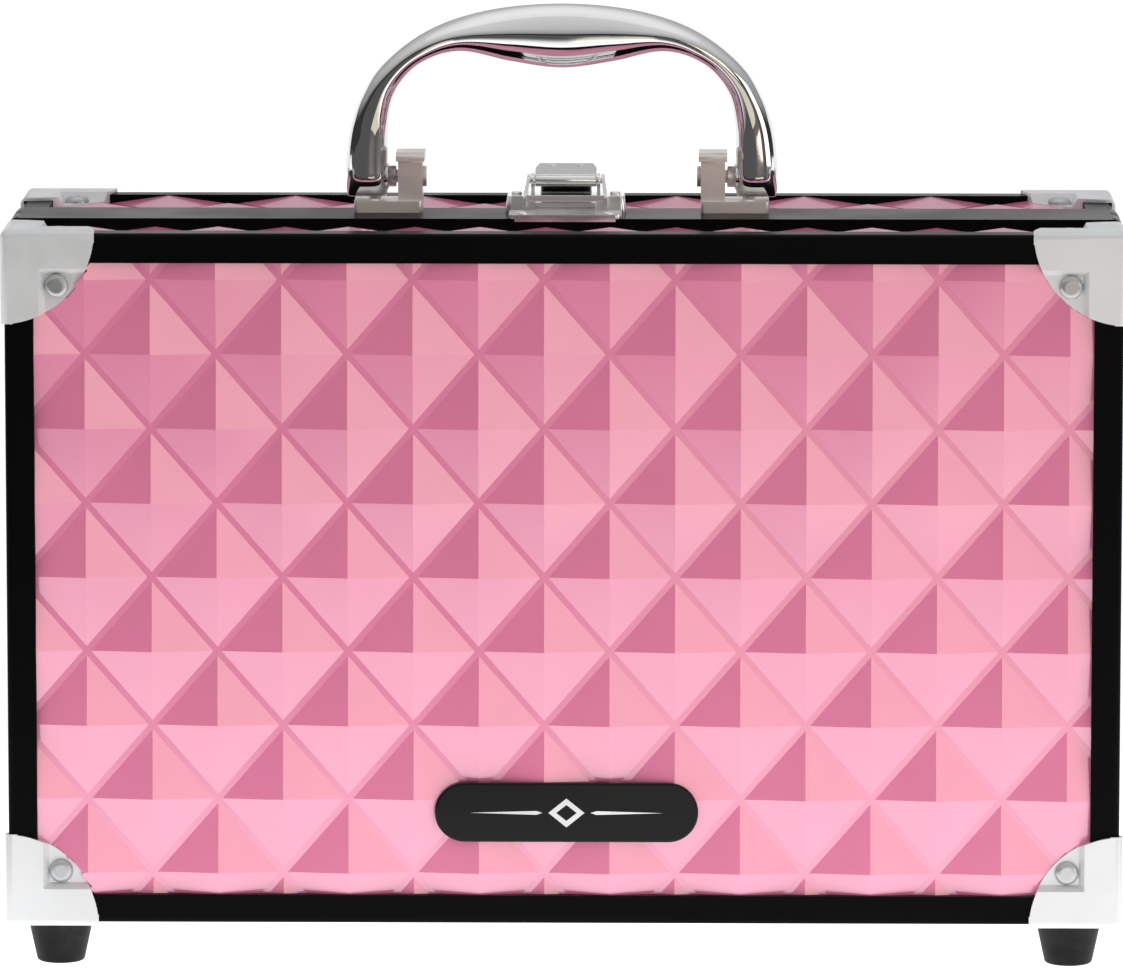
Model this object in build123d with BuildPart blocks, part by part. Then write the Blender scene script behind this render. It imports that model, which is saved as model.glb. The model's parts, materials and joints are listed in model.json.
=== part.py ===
"""Makeup train case: two embossed half shells in aluminium edging, standing on four feet.

The lid is the front half and the base is the rear half. They are hinged along their bottom
edges and held at the top by a draw latch. The carrying handle stands on the base.
Millimetres. +X is to the right, +Y to the rear, +Z up. The origin is on the floor, under the
middle of the case.
"""

from build123d import *
from math import hypot
import os

os.makedirs("parts", exist_ok=True)

# ---------------------------------------------------------------- driving dimensions
case_width = 259.0  # over the edge rails
case_height = 162.0
case_depth = 87.0
lid_depth = 35.5
foot_height = 10.5
corner_proud = 0.8  # how far the corner pieces stand out of the rails

rail_width = 6.8
rim_width = 11.0
flange = 2.1  # rail thickness, which is also how deep the panels sit
rim_proud = 0.8  # how far the two rims stand out of the edge rails
skin = 0.9
board = 2.8
lining = 0.8
mitre_gap = 0.1
edge_round = 1.6

# Embossed pattern: half the width and half the height of one rhombus.
pitch_across = 15.21
pitch_along = 17.42
relief = 2.0
valley = 1.6
pattern_shift = 10.7  # from the middle of the case to the nearest ridge line
pattern_rise = 0.5  # from the middle of the case's height to a row of tips

corner_reach = 21.8
corner_step = 8.9
corner_floor = 2.1
corner_draft = 32.0  # slope of the pocket's walls, in degrees
corner_round = 1.7
rivet_inset = 13.0

handle_pivot_back = 7.0  # behind the parting plane
handle_pivot_up = 8.0  # above the rim rails
handle_rise = 48.8
handle_x = -1.0  # the handle is set a little to the left of the middle
leg_inner = 40.9
leg_outer = 50.7
leg_round = 4.8
ear_inner = 32.7
ear_outer = 38.4

lever_pivot = Vector(0, 2.4, 7.6)  # from the top of the parting line
bail_pivot = Vector(0, 7.2, 7.0)

# ---------------------------------------------------------------- derived levels
half_width = case_width / 2
front_y = -case_depth / 2
rear_y = case_depth / 2
parting_y = front_y + lid_depth
bottom_z = foot_height + corner_proud
top_z = bottom_z + case_height
middle_z = bottom_z + case_height / 2
rim_bottom = bottom_z - rim_proud
rim_top = top_z + rim_proud

board_level = flange + skin
lining_level = board_level + board
inner_level = lining_level + lining
web = 3.2
rim_depth = 8.5
outer_width = half_width + corner_proud
outer_front = front_y - corner_proud
outer_top = top_z + corner_proud

middle_plane = Plane(origin=(0, 0, middle_z), x_dir=(1, 0, 0), z_dir=(0, 0, 1))
outline_plane = Plane(origin=(0, 0, middle_z), x_dir=(1, 0, 0), z_dir=(0, -1, 0))
latch_origin = Vector(0, parting_y, rim_top)

low = (Align.CENTER, Align.CENTER, Align.MIN)
high = (Align.CENTER, Align.CENTER, Align.MAX)
first_quarter = (Align.MIN, Align.MIN)
inward = (Align.MIN, Align.MAX)


class Side:
    """One of the four walls. Its plane has +Y as y_dir and the outward normal as z_dir."""

    def __init__(self, normal, run, reach, length):
        self.normal = Vector(normal)
        self.run = Vector(run)
        self.middle = Vector(0, 0, middle_z) + self.normal * reach
        self.length = length

    def wall_plane(self, y, depth):
        origin = self.middle + Vector(0, y, 0) - self.normal * depth
        return Plane(origin=origin, x_dir=self.run, z_dir=self.normal)

    def section_plane(self, y):
        return Plane(origin=self.middle + Vector(0, y, 0), x_dir=(0, 1, 0), z_dir=self.run)

    def mitre_plane(self, end):
        corner = self.middle + self.run * (end * (self.length - mitre_gap) / 2)
        return Plane(origin=corner, z_dir=self.run * end - self.normal)


top_side = Side((0, 0, 1), (1, 0, 0), case_height / 2, case_width)
bottom_side = Side((0, 0, -1), (-1, 0, 0), case_height / 2, case_width)
right_side = Side((1, 0, 0), (0, 0, -1), half_width, case_height)
left_side = Side((-1, 0, 0), (0, 0, 1), half_width, case_height)
all_sides = [top_side, bottom_side, right_side, left_side]


# ---------------------------------------------------------------- shared shapes
def write(part, label):
    part.label = label
    export_step(part, f"parts/{label}.step")


def embossed_sheet(face, size, window, apex, notches, slot=None):
    """A sheet with rhombic pyramids: two sets of ridges crossed on the rhombus's sides.

    face is the plane of the valleys, window the size of the embossed area, apex one ridge
    crossing, notches the points around which the corner pieces need a flat sheet, and slot
    the place of a flat pad for the badge.
    """
    side = hypot(pitch_across, pitch_along)
    period = 2 * pitch_across * pitch_along / side
    reach = hypot(*size)
    teeth = int(reach / period) + 2
    with BuildPart() as sheet:
        for lean in (1, -1):
            across = (face.x_dir * pitch_along - face.y_dir * (lean * pitch_across)).normalized()
            origin = face.origin + face.x_dir * apex[0] + face.y_dir * apex[1]
            ridges = Plane(origin=origin, x_dir=across, z_dir=across.cross(face.z_dir))
            outline = [(-(teeth + 0.5) * period, -skin)]
            for tooth in range(-teeth, teeth + 1):
                outline.append(((tooth - 0.5) * period + valley / 2, 0))
                outline.append((tooth * period, relief))
                outline.append(((tooth + 0.5) * period - valley / 2, 0))
            outline.append(((teeth + 0.5) * period, -skin))
            with BuildSketch(ridges):
                with BuildLine():
                    Polyline(*outline, close=True)
                make_face()
            extrude(amount=reach, both=True, mode=Mode.ADD if lean == 1 else Mode.INTERSECT)
        with BuildSketch(face.offset(-skin)):
            Rectangle(*window)
            with Locations(*notches):
                Circle(corner_reach + 0.3, mode=Mode.SUBTRACT)
            if slot:
                with Locations(slot):
                    SlotOverall(badge_length + 0.4, badge_height + 0.4, mode=Mode.SUBTRACT)
        extrude(amount=skin + relief + 1, mode=Mode.INTERSECT)
        with BuildSketch(face.offset(-skin)):
            Rectangle(*size)
        extrude(amount=skin)
    return sheet.part


def flat_sheet(face, size, thickness):
    """A plain sheet that lies under the given plane."""
    with BuildPart() as sheet:
        with BuildSketch(face):
            Rectangle(*size)
        extrude(amount=-thickness)
    return sheet.part


def mitred_rail(side, y, section):
    """A rail along one wall, cut at 45 degrees where it meets its neighbours."""
    with BuildPart() as rail:
        with BuildSketch(side.section_plane(y)):
            section()
        extrude(amount=side.length / 2 + rim_proud, both=True)
        for end in (1, -1):
            split(bisect_by=side.mitre_plane(end), keep=Keep.BOTTOM)
    return rail.part


def edge_section():
    """L-shaped edging with a rounded outer corner, opening inwards and to the rear."""
    Rectangle(rail_width, rail_width, align=inward)
    with Locations((flange, -flange)):
        Rectangle(rail_width, rail_width, align=inward, mode=Mode.SUBTRACT)
    outer_corner = vertices().sort_by_distance((0, 0, 0))[0]
    fillet(outer_corner, edge_round)


def rim_section(direction):
    """Channel edging of one half: outer flange, web on the parting plane, and inner leg."""
    Polygon(
        (0, rim_proud),
        (direction * rim_width, rim_proud),
        (direction * rim_width, -flange),
        (direction * web, -flange),
        (direction * web, -inner_level),
        (direction * 7.0, -inner_level),
        (direction * 7.0, -rim_depth),
        (0, -rim_depth),
        align=None,
    )


def lid_rim_section():
    rim_section(-1)
    with Locations((0, -4.1)):
        Rectangle(1.5, 1.4, align=inward)


def base_rim_section():
    rim_section(1)
    with Locations((0, -3.6)):
        Rectangle(1.9, 2.4, align=inward, mode=Mode.SUBTRACT)


def rail_frame(y, section, proud):
    """Four mitred rails as separate solids, with the case's long edges rounded."""
    rails = [mitred_rail(side, y, section) for side in all_sides]
    with BuildPart() as frame:
        add(rails)
        with BuildSketch(outline_plane):
            RectangleRounded(case_width + 2 * proud, case_height + 2 * proud, edge_round + proud)
        extrude(amount=case_depth, both=True, mode=Mode.INTERSECT)
    return frame.part


def corner_posts(start_y, end_y):
    """The L-shaped edging along the four long edges, between the edge rails and the rim."""
    with BuildPart() as posts:
        first = Plane(origin=(half_width, start_y, top_z), x_dir=(-1, 0, 0), z_dir=(0, 1, 0))
        with BuildSketch(first):
            edge_section()
        extrude(amount=end_y - start_y)
        mirror(about=Plane.YZ)
        mirror(about=middle_plane)
    return posts.part


def rivet(seat, head_radius, head_height, shank_radius, grip):
    """A domed rivet. The seat is the plane under its head, facing outwards."""
    with BuildPart(seat) as piece:
        Cylinder(head_radius, head_height, align=low)
        circles = piece.edges().filter_by(GeomType.CIRCLE)
        crown = circles.sort_by(Axis(seat.origin, seat.z_dir))[-1]
        fillet(crown, head_height * 0.9)
        Cylinder(shank_radius, grip, align=high)
        with Locations((0, 0, -grip)):
            Cylinder(shank_radius * 1.5, 0.5, align=high)
    return piece.part


def copies(part, planes):
    """The part and its mirror images in each plane in turn, as one list."""
    found = [part]
    for plane in planes:
        found += [mirror(piece, about=plane) for piece in found]
    return found


# ---------------------------------------------------------------- panels of the two halves
badge_length = 61.4
badge_height = 14.0
badge_place = (0.7, 26.5 - case_height / 2)

panel_size = (case_width - 2 * flange, case_height - 2 * flange)
panel_window = (case_width - 2 * rail_width - 0.2, case_height - 2 * rail_width - 0.2)
panel_apex = (pattern_shift, pattern_rise)
panel_notches = [(x * outer_width, z * (outer_top - middle_z)) for x in (1, -1) for z in (1, -1)]

front_face = Plane(origin=(0, front_y + flange, middle_z), x_dir=(1, 0, 0), z_dir=(0, -1, 0))
rear_face = Plane(origin=(0, rear_y - flange, middle_z), x_dir=(-1, 0, 0), z_dir=(0, 1, 0))

front_skin = embossed_sheet(
    front_face, panel_size, panel_window, panel_apex, panel_notches, badge_place
)
write(front_skin, "front_skin")
rear_skin = embossed_sheet(
    rear_face, panel_size, panel_window, panel_apex, panel_notches
)
write(rear_skin, "rear_skin")

with BuildPart() as front_board:
    add(flat_sheet(front_face.offset(-skin), panel_size, board))
write(front_board.part, "front_board")

with BuildPart() as rear_board:
    add(flat_sheet(rear_face.offset(-skin), panel_size, board))
write(rear_board.part, "rear_board")


def half_walls(start_y, end_y, window_start, window_end, corner_y):
    """Embossed skins and boards of the four walls of one half."""
    middle_y = (start_y + end_y) / 2
    window_middle = (window_start + window_end) / 2
    window_depth = window_end - window_start - 0.2
    skins = []
    boards = []
    for side in all_sides:
        shortened = 0 if side.normal.X == 0 else 2 * (lining_level - flange)
        size = (side.length - 2 * flange - shortened, end_y - start_y)
        face = side.wall_plane(middle_y, flange)
        boards.append(flat_sheet(face.offset(-skin), (size[0] - mitre_gap, size[1]), board))
        face = side.wall_plane(window_middle, flange)
        window = (side.length - 2 * rail_width - 0.2, window_depth)
        end = side.length / 2 + corner_proud
        notches = [(end, corner_y - window_middle), (-end, corner_y - window_middle)]
        shift = pattern_shift * side.run.X
        skins.append(embossed_sheet(face, (size[0], window_depth + 0.2), window, (shift, 0), notches))
    return skins, boards


rail_end = front_y + rail_width
rim_front = parting_y - rim_width
rim_back = parting_y + rim_width
lid_skins, lid_boards = half_walls(
    front_y + lining_level, parting_y - web, rail_end, rim_front, outer_front
)
base_skins, base_boards = half_walls(
    parting_y + web, rear_y - lining_level, rim_back, rear_y - rail_width, -outer_front
)

with BuildPart() as lid_wall_skins:
    add(lid_skins)
write(lid_wall_skins.part, "lid_wall_skins")

with BuildPart() as lid_wall_boards:
    add(lid_boards)
write(lid_wall_boards.part, "lid_wall_boards")

with BuildPart() as base_wall_skins:
    add(base_skins)
write(base_wall_skins.part, "base_wall_skins")

with BuildPart() as base_wall_boards:
    add(base_boards)
write(base_wall_boards.part, "base_wall_boards")

# ---------------------------------------------------------------- aluminium edging
front_rails = rail_frame(front_y, edge_section, 0)
write(front_rails, "front_edge_rails")

with BuildPart() as rear_edge_rails:
    add(mirror(front_rails, about=Plane.XZ))
write(rear_edge_rails.part, "rear_edge_rails")

write(corner_posts(rail_end + mitre_gap, rim_front - mitre_gap), "lid_corner_posts")
write(corner_posts(rim_back + mitre_gap, rear_y - rail_width - mitre_gap), "base_corner_posts")
write(rail_frame(parting_y, lid_rim_section, rim_proud), "lid_rim_rails")
write(rail_frame(parting_y, base_rim_section, rim_proud), "base_rim_rails")

# ---------------------------------------------------------------- corner pieces
outer_corner = Vector(outer_width, outer_front, outer_top)
cheek_planes = [
    Plane(origin=outer_corner, x_dir=(0, 0, -1), z_dir=(0, 1, 0)),
    Plane(origin=outer_corner, x_dir=(-1, 0, 0), z_dir=(0, 0, -1)),
    Plane(origin=outer_corner, x_dir=(0, 1, 0), z_dir=(-1, 0, 0)),
]
bar = rail_width + 0.1

with BuildPart() as corner:
    for cheek in cheek_planes:
        with BuildSketch(cheek):
            Circle(corner_reach)
            Rectangle(corner_reach, corner_reach, align=first_quarter, mode=Mode.INTERSECT)
        extrude(amount=corner_proud + flange)
    for cheek in cheek_planes:
        with BuildSketch(cheek.offset(corner_proud)):
            with Locations((corner_proud, corner_proud)):
                Rectangle(bar, bar, align=first_quarter)
        extrude(amount=corner_reach, mode=Mode.SUBTRACT)
    for cheek in cheek_planes:
        with BuildSketch(cheek):
            with Locations((corner_step, corner_step)):
                Rectangle(corner_reach, corner_reach, align=first_quarter)
        extrude(amount=corner_floor, taper=corner_draft, mode=Mode.SUBTRACT)
    long_edges = [edge for edge in corner.edges() if edge.distance_to(outer_corner) < 0.001]
    fillet(long_edges, corner_round)

lid_corners = copies(corner.part, [Plane.YZ, middle_plane])
corner_places = ["top_right", "top_left", "bottom_right", "bottom_left"]
for place, piece in zip(corner_places, lid_corners):
    write(piece, f"lid_corner_{place}")
    write(mirror(piece, about=Plane.XZ), f"base_corner_{place}")

# Rivets through the front, top and side cheek. The bottom cheeks hold the feet instead.
corner_rivets = []
for cheek in cheek_planes:
    pocket = cheek.offset(corner_floor)
    spot = pocket.from_local_coords((rivet_inset, rivet_inset, 0))
    seat = Plane(origin=spot, x_dir=cheek.x_dir, z_dir=-cheek.z_dir)
    grip = corner_proud + inner_level - corner_floor
    corner_rivets.append(rivet(seat, 2.8, 1.5, 1.2, grip))
front_rivet, top_rivet, side_rivet = corner_rivets
right_rivets = [front_rivet, side_rivet, top_rivet]
right_rivets += [mirror(piece, about=middle_plane) for piece in (front_rivet, side_rivet)]

with BuildPart() as lid_corner_rivets:
    add(right_rivets)
    mirror(about=Plane.YZ)
write(lid_corner_rivets.part, "lid_corner_rivets")

with BuildPart() as base_corner_rivets:
    add(mirror(lid_corner_rivets.part, about=Plane.XZ))
write(base_corner_rivets.part, "base_corner_rivets")

# ---------------------------------------------------------------- feet
foot_inset = 12.0
foot_x = outer_width - foot_inset
foot_y = outer_front + rivet_inset + 1.0
foot_top = 7.75
foot_bottom = 5.5
screw_recess = 4.0

with BuildPart(Plane(origin=(foot_x, foot_y, 0))) as foot:
    Cone(foot_bottom, foot_top, foot_height, align=low)
    with Locations((0, 0, foot_height)):
        Cylinder(2.6, corner_floor - 0.2, align=low)
    ground_edge = foot.edges().filter_by(GeomType.CIRCLE).sort_by(Axis.Z)[0]
    fillet(ground_edge, 0.9)
    with Locations((0, 0, 0)):
        Cylinder(3.2, screw_recess, align=low, mode=Mode.SUBTRACT)
        Cylinder(1.6, foot_height + corner_floor, align=low, mode=Mode.SUBTRACT)

with BuildPart(Plane(origin=(foot_x, foot_y, screw_recess))) as foot_screw:
    Cylinder(3.0, 1.8, align=high)
    head_rim = foot_screw.edges().filter_by(GeomType.CIRCLE).sort_by(Axis.Z)[0]
    fillet(head_rim, 0.8)
    Cylinder(1.5, bottom_z + inner_level - screw_recess, align=low)
    with BuildSketch(Plane.XY.offset(screw_recess - 1.8)):
        with Locations((foot_x, foot_y)):
            Rectangle(3.2, 0.7)
            Rectangle(0.7, 3.2)
    extrude(amount=0.9, mode=Mode.SUBTRACT)
    with Locations((0, 0, bottom_z + inner_level - screw_recess)):
        Cylinder(2.8, 1.6, align=low)

foot_places = ["front_right_foot", "front_left_foot", "rear_right_foot", "rear_left_foot"]
for place, piece in zip(foot_places, copies(foot.part, [Plane.YZ, Plane.XZ])):
    write(piece, place)

with BuildPart() as lid_foot_screws:
    add(foot_screw.part)
    mirror(about=Plane.YZ)
write(lid_foot_screws.part, "lid_foot_screws")

with BuildPart() as base_foot_screws:
    add(mirror(lid_foot_screws.part, about=Plane.XZ))
write(base_foot_screws.part, "base_foot_screws")

# ---------------------------------------------------------------- badge
with BuildPart() as badge:
    with BuildSketch(front_face):
        with Locations(badge_place):
            SlotOverall(badge_length, badge_height)
    extrude(amount=relief + 0.6)
    rim_edges = badge.faces().sort_by(Axis.Y)[0].edges()
    fillet(rim_edges, 0.5)
write(badge.part, "badge")

emblem_plane = front_face.offset(relief + 0.6)
with BuildPart() as badge_emblem:
    with BuildSketch(emblem_plane):
        with Locations(badge_place):
            Polygon((-4.2, 0), (0, 3.4), (4.2, 0), (0, -3.4), align=None)
            Polygon((-2.4, 0), (0, 1.9), (2.4, 0), (0, -1.9), align=None, mode=Mode.SUBTRACT)
            Polygon((5.6, 0), (7.0, 0.45), (22.5, 0), (7.0, -0.45), align=None)
            Polygon((-5.6, 0), (-7.0, 0.45), (-22.5, 0), (-7.0, -0.45), align=None)
    extrude(amount=0.2)
write(badge_emblem.part, "badge_emblem")

# ---------------------------------------------------------------- inside
def half_lining(back_y, start_y, end_y):
    """Five separate sheets: the back of the half and its four walls."""
    size = (case_width - 2 * lining_level, case_height - 2 * lining_level)
    back = Plane(origin=(0, back_y, middle_z), x_dir=(1, 0, 0), z_dir=(0, -1, 0))
    sheets = [flat_sheet(back, size, lining)]
    for side in all_sides:
        shortened = mitre_gap if side.normal.X == 0 else 2 * inner_level - 2 * lining_level
        face = side.wall_plane((start_y + end_y) / 2, lining_level)
        length = side.length - 2 * lining_level - shortened - mitre_gap
        sheets.append(flat_sheet(face, (length, end_y - start_y), lining))
    return sheets


lid_back = front_y + inner_level
base_back = rear_y - inner_level
with BuildPart() as lid_lining:
    add(half_lining(front_y + lining_level, lid_back + mitre_gap, parting_y - web))
write(lid_lining.part, "lid_lining")

with BuildPart() as base_lining:
    add(half_lining(base_back, parting_y + web, base_back - mitre_gap))
write(base_lining.part, "base_lining")

mirror_width = 200.0
mirror_height = 118.0
mirror_thickness = 2.0
mirror_trim = 4.0
mirror_plane = Plane(origin=(0, lid_back, middle_z), x_dir=(-1, 0, 0), z_dir=(0, 1, 0))
with BuildPart() as mirror_glass:
    with BuildSketch(mirror_plane):
        RectangleRounded(mirror_width, mirror_height, 1.5)
    extrude(amount=mirror_thickness)
write(mirror_glass.part, "mirror")

with BuildPart() as mirror_trims:
    with BuildSketch(mirror_plane):
        for side in (1, -1):
            with Locations((0, side * (mirror_height + mirror_trim) / 2)):
                Rectangle(mirror_width + 2 * mirror_trim, mirror_trim)
            with Locations((side * (mirror_width + mirror_trim) / 2, 0)):
                Rectangle(mirror_trim, mirror_height - 2 * mitre_gap)
    extrude(amount=mirror_thickness + 0.8)
    trim_edges = mirror_trims.faces().sort_by(Axis.Y)[-4:].edges()
    fillet(trim_edges, 0.7)
write(mirror_trims.part, "mirror_trims")

# Padded dividers of the base: one the whole width, and two short ones that stand on it.
divider = 3.0
divider_height = 28.0
divider_clearance = 0.4
inside_width = case_width - 2 * inner_level - 2 * divider_clearance
inside_height = case_height - 2 * inner_level - 2 * divider_clearance
divider_z = middle_z + 12.0
floor_plane = Plane(origin=(0, base_back, middle_z), x_dir=(1, 0, 0), z_dir=(0, -1, 0))
with BuildPart() as long_divider:
    with BuildSketch(floor_plane):
        with Locations((0, divider_z - middle_z)):
            Rectangle(inside_width, divider)
    extrude(amount=divider_height)
    fillet(long_divider.faces().sort_by(Axis.Y)[0].edges().filter_by(Axis.X), 1.2)
write(long_divider.part, "long_divider")

upper_room = inside_height / 2 - (divider_z - middle_z) - divider / 2 - 2 * divider_clearance
lower_room = inside_height / 2 + (divider_z - middle_z) - divider / 2 - 2 * divider_clearance
upper_middle = divider_z + divider / 2 + divider_clearance + upper_room / 2
lower_middle = divider_z - divider / 2 - divider_clearance - lower_room / 2
with BuildPart() as short_dividers:
    with BuildSketch(floor_plane):
        with Locations((-42.0, upper_middle - middle_z), (42.0, upper_middle - middle_z)):
            Rectangle(divider, upper_room)
        with Locations((8.0, lower_middle - middle_z)):
            Rectangle(divider, lower_room)
    extrude(amount=divider_height - 3.0)
write(short_dividers.part, "short_dividers")

# ---------------------------------------------------------------- hinges
hinge_x = 72.0
leaf_width = 30.0
leaf_thickness = 1.2
leaf_end = 10.4
knuckle_radius = 2.2
knuckle_length = 9.6
pin_radius = 1.1
hinge_axis = Vector(0, parting_y, rim_bottom - knuckle_radius - 0.1)


def hinge_leaf(direction):
    """One leaf under its rim. The base's leaf has the two outer knuckles, the lid's the middle."""
    reach = leaf_width / 2
    knuckles = [0] if direction < 0 else [-1, 1]
    section = Plane(origin=hinge_axis, x_dir=(0, 1, 0), z_dir=(1, 0, 0))
    under = Plane(origin=(0, parting_y, rim_bottom), x_dir=(1, 0, 0), z_dir=(0, 0, -1))
    with BuildPart() as leaf:
        with BuildSketch(under):
            with Locations((0, -direction * (leaf_end + 2.8) / 2)):
                Rectangle(leaf_width, leaf_end - 2.8)
            for place in knuckles:
                with Locations((place * 10.2, -direction * 2.0)):
                    Rectangle(knuckle_length, 3.8)
        extrude(amount=leaf_thickness)
        far_edges = leaf.edges().filter_by(Axis.Z).group_by(Axis.Y)
        fillet(far_edges[-1] if direction > 0 else far_edges[0], 2.0)
        for place in knuckles:
            start = section.offset(place * 10.2 - knuckle_length / 2)
            with BuildSketch(start):
                Circle(knuckle_radius)
                with Locations((direction * 1.1, 1.25)):
                    Rectangle(2.2, 1.9)
            extrude(amount=knuckle_length)
        with BuildSketch(section.offset(-reach)):
            Circle(pin_radius if direction > 0 else pin_radius + 0.06)
        extrude(amount=leaf_width, mode=Mode.SUBTRACT)
    return leaf.part


with BuildPart() as hinge_pin:
    with BuildSketch(Plane(origin=hinge_axis + Vector(-15.0, 0, 0), z_dir=(1, 0, 0))):
        Circle(pin_radius)
    extrude(amount=leaf_width)

for place, x in (("left", -hinge_x), ("right", hinge_x)):
    write(hinge_leaf(-1).moved(Location((x, 0, 0))), f"lid_hinge_leaf_{place}")
    write(hinge_leaf(1).moved(Location((x, 0, 0))), f"base_hinge_leaf_{place}")
    write(hinge_pin.part.moved(Location((x, 0, 0))), f"hinge_pin_{place}")

for half, direction in (("lid", -1), ("base", 1)):
    y = parting_y + direction * 7.0
    seats = [
        Plane(origin=(side * hinge_x + x, y, rim_bottom - leaf_thickness), z_dir=(0, 0, -1))
        for side in (1, -1)
        for x in (-10.0, 10.0)
    ]
    grip = leaf_thickness + rim_proud + inner_level
    leaf_rivets = [rivet(seat, 1.9, 0.8, 0.9, grip) for seat in seats]
    with BuildPart() as hinge_rivets:
        add(leaf_rivets)
    write(hinge_rivets.part, f"{half}_hinge_rivets")

# ---------------------------------------------------------------- handle brackets
pivot_y = parting_y + handle_pivot_back
pivot_z = rim_top + handle_pivot_up
block_front = parting_y + 0.8
block_depth = 11.6
block_height = 2.7
block_outer = 48.7
ear_height = 14.0
ear_length = ear_outer - ear_inner
ear_depth = block_depth - 1.6
cap_lip = 0.5
pin_head = 0.9
handle_pin_radius = 1.5
bracket_rivet_x = 44.0
bracket_rivet_y = 3.4
handle_middle = Plane(origin=(handle_x, 0, 0), z_dir=(1, 0, 0))


def across_plane(x):
    """The plane of a side view of the handle, at the given distance from its middle."""
    return Plane(origin=(handle_x + x, pivot_y, rim_top), x_dir=(0, 1, 0), z_dir=(1, 0, 0))


with BuildPart() as right_bracket:
    with BuildSketch(Plane.XY.offset(rim_top)):
        block_middle = handle_x + (ear_inner + block_outer) / 2
        with Locations((block_middle, block_front + block_depth / 2)):
            RectangleRounded(block_outer - ear_inner, block_depth, 0.8)
    extrude(amount=block_height)
    with BuildSketch(across_plane(ear_inner)):
        Rectangle(ear_depth, ear_height, align=(Align.CENTER, Align.MIN))
        upper_corners = vertices().group_by(Axis.Y)[-1]
        fillet(upper_corners, 2.4)
    extrude(amount=ear_length)
    with BuildSketch(across_plane(ear_inner - cap_lip)):
        with Locations((0, ear_height)):
            Rectangle(ear_depth + 2 * cap_lip, 2.0, align=(Align.CENTER, Align.MAX))
        upper_corners = vertices().group_by(Axis.Y)[-1]
        fillet(upper_corners, 1.2)
    extrude(amount=ear_length + 2 * cap_lip)
    with BuildSketch(across_plane(0)):
        with Locations((0, handle_pivot_up)):
            Circle(handle_pin_radius)
    extrude(amount=leg_outer, mode=Mode.SUBTRACT)
write(right_bracket.part, "handle_bracket_right")

with BuildPart() as left_bracket:
    add(mirror(right_bracket.part, about=handle_middle))
write(left_bracket.part, "handle_bracket_left")

pin_start = ear_inner - pin_head
pin_end = (leg_inner + leg_outer) / 2 + 0.2
with BuildPart() as handle_pins:
    for radius, length in ((handle_pin_radius, pin_end - pin_start), (2.4, pin_head)):
        with BuildSketch(across_plane(pin_start)):
            with Locations((0, handle_pivot_up)):
                Circle(radius)
        extrude(amount=length)
    mirror(about=handle_middle)
write(handle_pins.part, "handle_pins")

bracket_grip = block_height + rim_proud + rim_depth
with BuildPart() as bracket_rivets:
    for x in (bracket_rivet_x, -bracket_rivet_x):
        for y in (-bracket_rivet_y, bracket_rivet_y):
            seat = Plane(origin=(handle_x + x, pivot_y + y, rim_top + block_height))
            add(rivet(seat, 1.6, 0.35, 1.0, bracket_grip))
write(bracket_rivets.part, "bracket_rivets")

# ---------------------------------------------------------------- handle
leg_bottom = handle_pivot_up - leg_round
boss_length = 2.2
bore_depth = 7.9

# Right half of the bow as seen from the front: distance to the right, height above the rims.
outer_curve = [
    (leg_outer, 12.2), (49.6, 19.8), (47.2, 26.7), (43.0, 33.6), (35.3, 40.3), (26.0, 44.9),
    (14.0, 47.8),
]
inner_curve = [
    (leg_inner, 14.2), (40.6, 21.2), (38.6, 28.5), (33.0, 34.6), (24.0, 37.4), (12.0, 35.1),
]
outer_arch = outer_curve + [(0, handle_rise)] + [(-x, z) for x, z in reversed(outer_curve)]
inner_arch = inner_curve + [(0, 33.6)] + [(-x, z) for x, z in reversed(inner_curve)]

# Rear half of its side view: half the thickness of the bow at several heights.
thickness_curve = [(leg_round, 23.2), (5.6, 31.2), (6.9, 39.2), (5.0, 46.2)]
thickness_arch = thickness_curve + [(0, handle_rise)]
thickness_arch += [(-y, z) for y, z in reversed(thickness_curve)]

front_view = Plane(origin=(handle_x, pivot_y, rim_top), x_dir=(1, 0, 0), z_dir=(0, -1, 0))
with BuildPart() as handle:
    with BuildSketch(front_view):
        with BuildLine():
            Spline(*outer_arch)
            Line(outer_arch[-1], (-leg_outer, leg_bottom))
            Line((-leg_outer, leg_bottom), (-leg_inner, leg_bottom))
            Line((-leg_inner, leg_bottom), inner_arch[-1])
            Spline(*inner_arch)
            Line(inner_arch[0], (leg_inner, leg_bottom))
            Line((leg_inner, leg_bottom), (leg_outer, leg_bottom))
            Line((leg_outer, leg_bottom), outer_arch[0])
        make_face()
    extrude(amount=7.5, both=True)
    with BuildSketch(across_plane(0)):
        with BuildLine():
            ThreePointArc((-leg_round, handle_pivot_up), (0, leg_bottom), (leg_round, handle_pivot_up))
            Line((leg_round, handle_pivot_up), thickness_arch[0])
            Spline(*thickness_arch)
            Line(thickness_arch[-1], (-leg_round, handle_pivot_up))
        make_face()
    extrude(amount=leg_outer + 1, both=True, mode=Mode.INTERSECT)
    for side in (1, -1):
        boss = Plane(origin=(handle_x + side * leg_inner, pivot_y, pivot_z), z_dir=(-side, 0, 0))
        with BuildSketch(boss.offset(-0.5)):
            Circle(2.7)
        extrude(amount=boss_length + 0.5)
        with BuildSketch(boss.offset(boss_length)):
            Circle(handle_pin_radius + 0.06)
        extrude(amount=-bore_depth, mode=Mode.SUBTRACT)
write(handle.part, "handle_bow")

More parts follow.
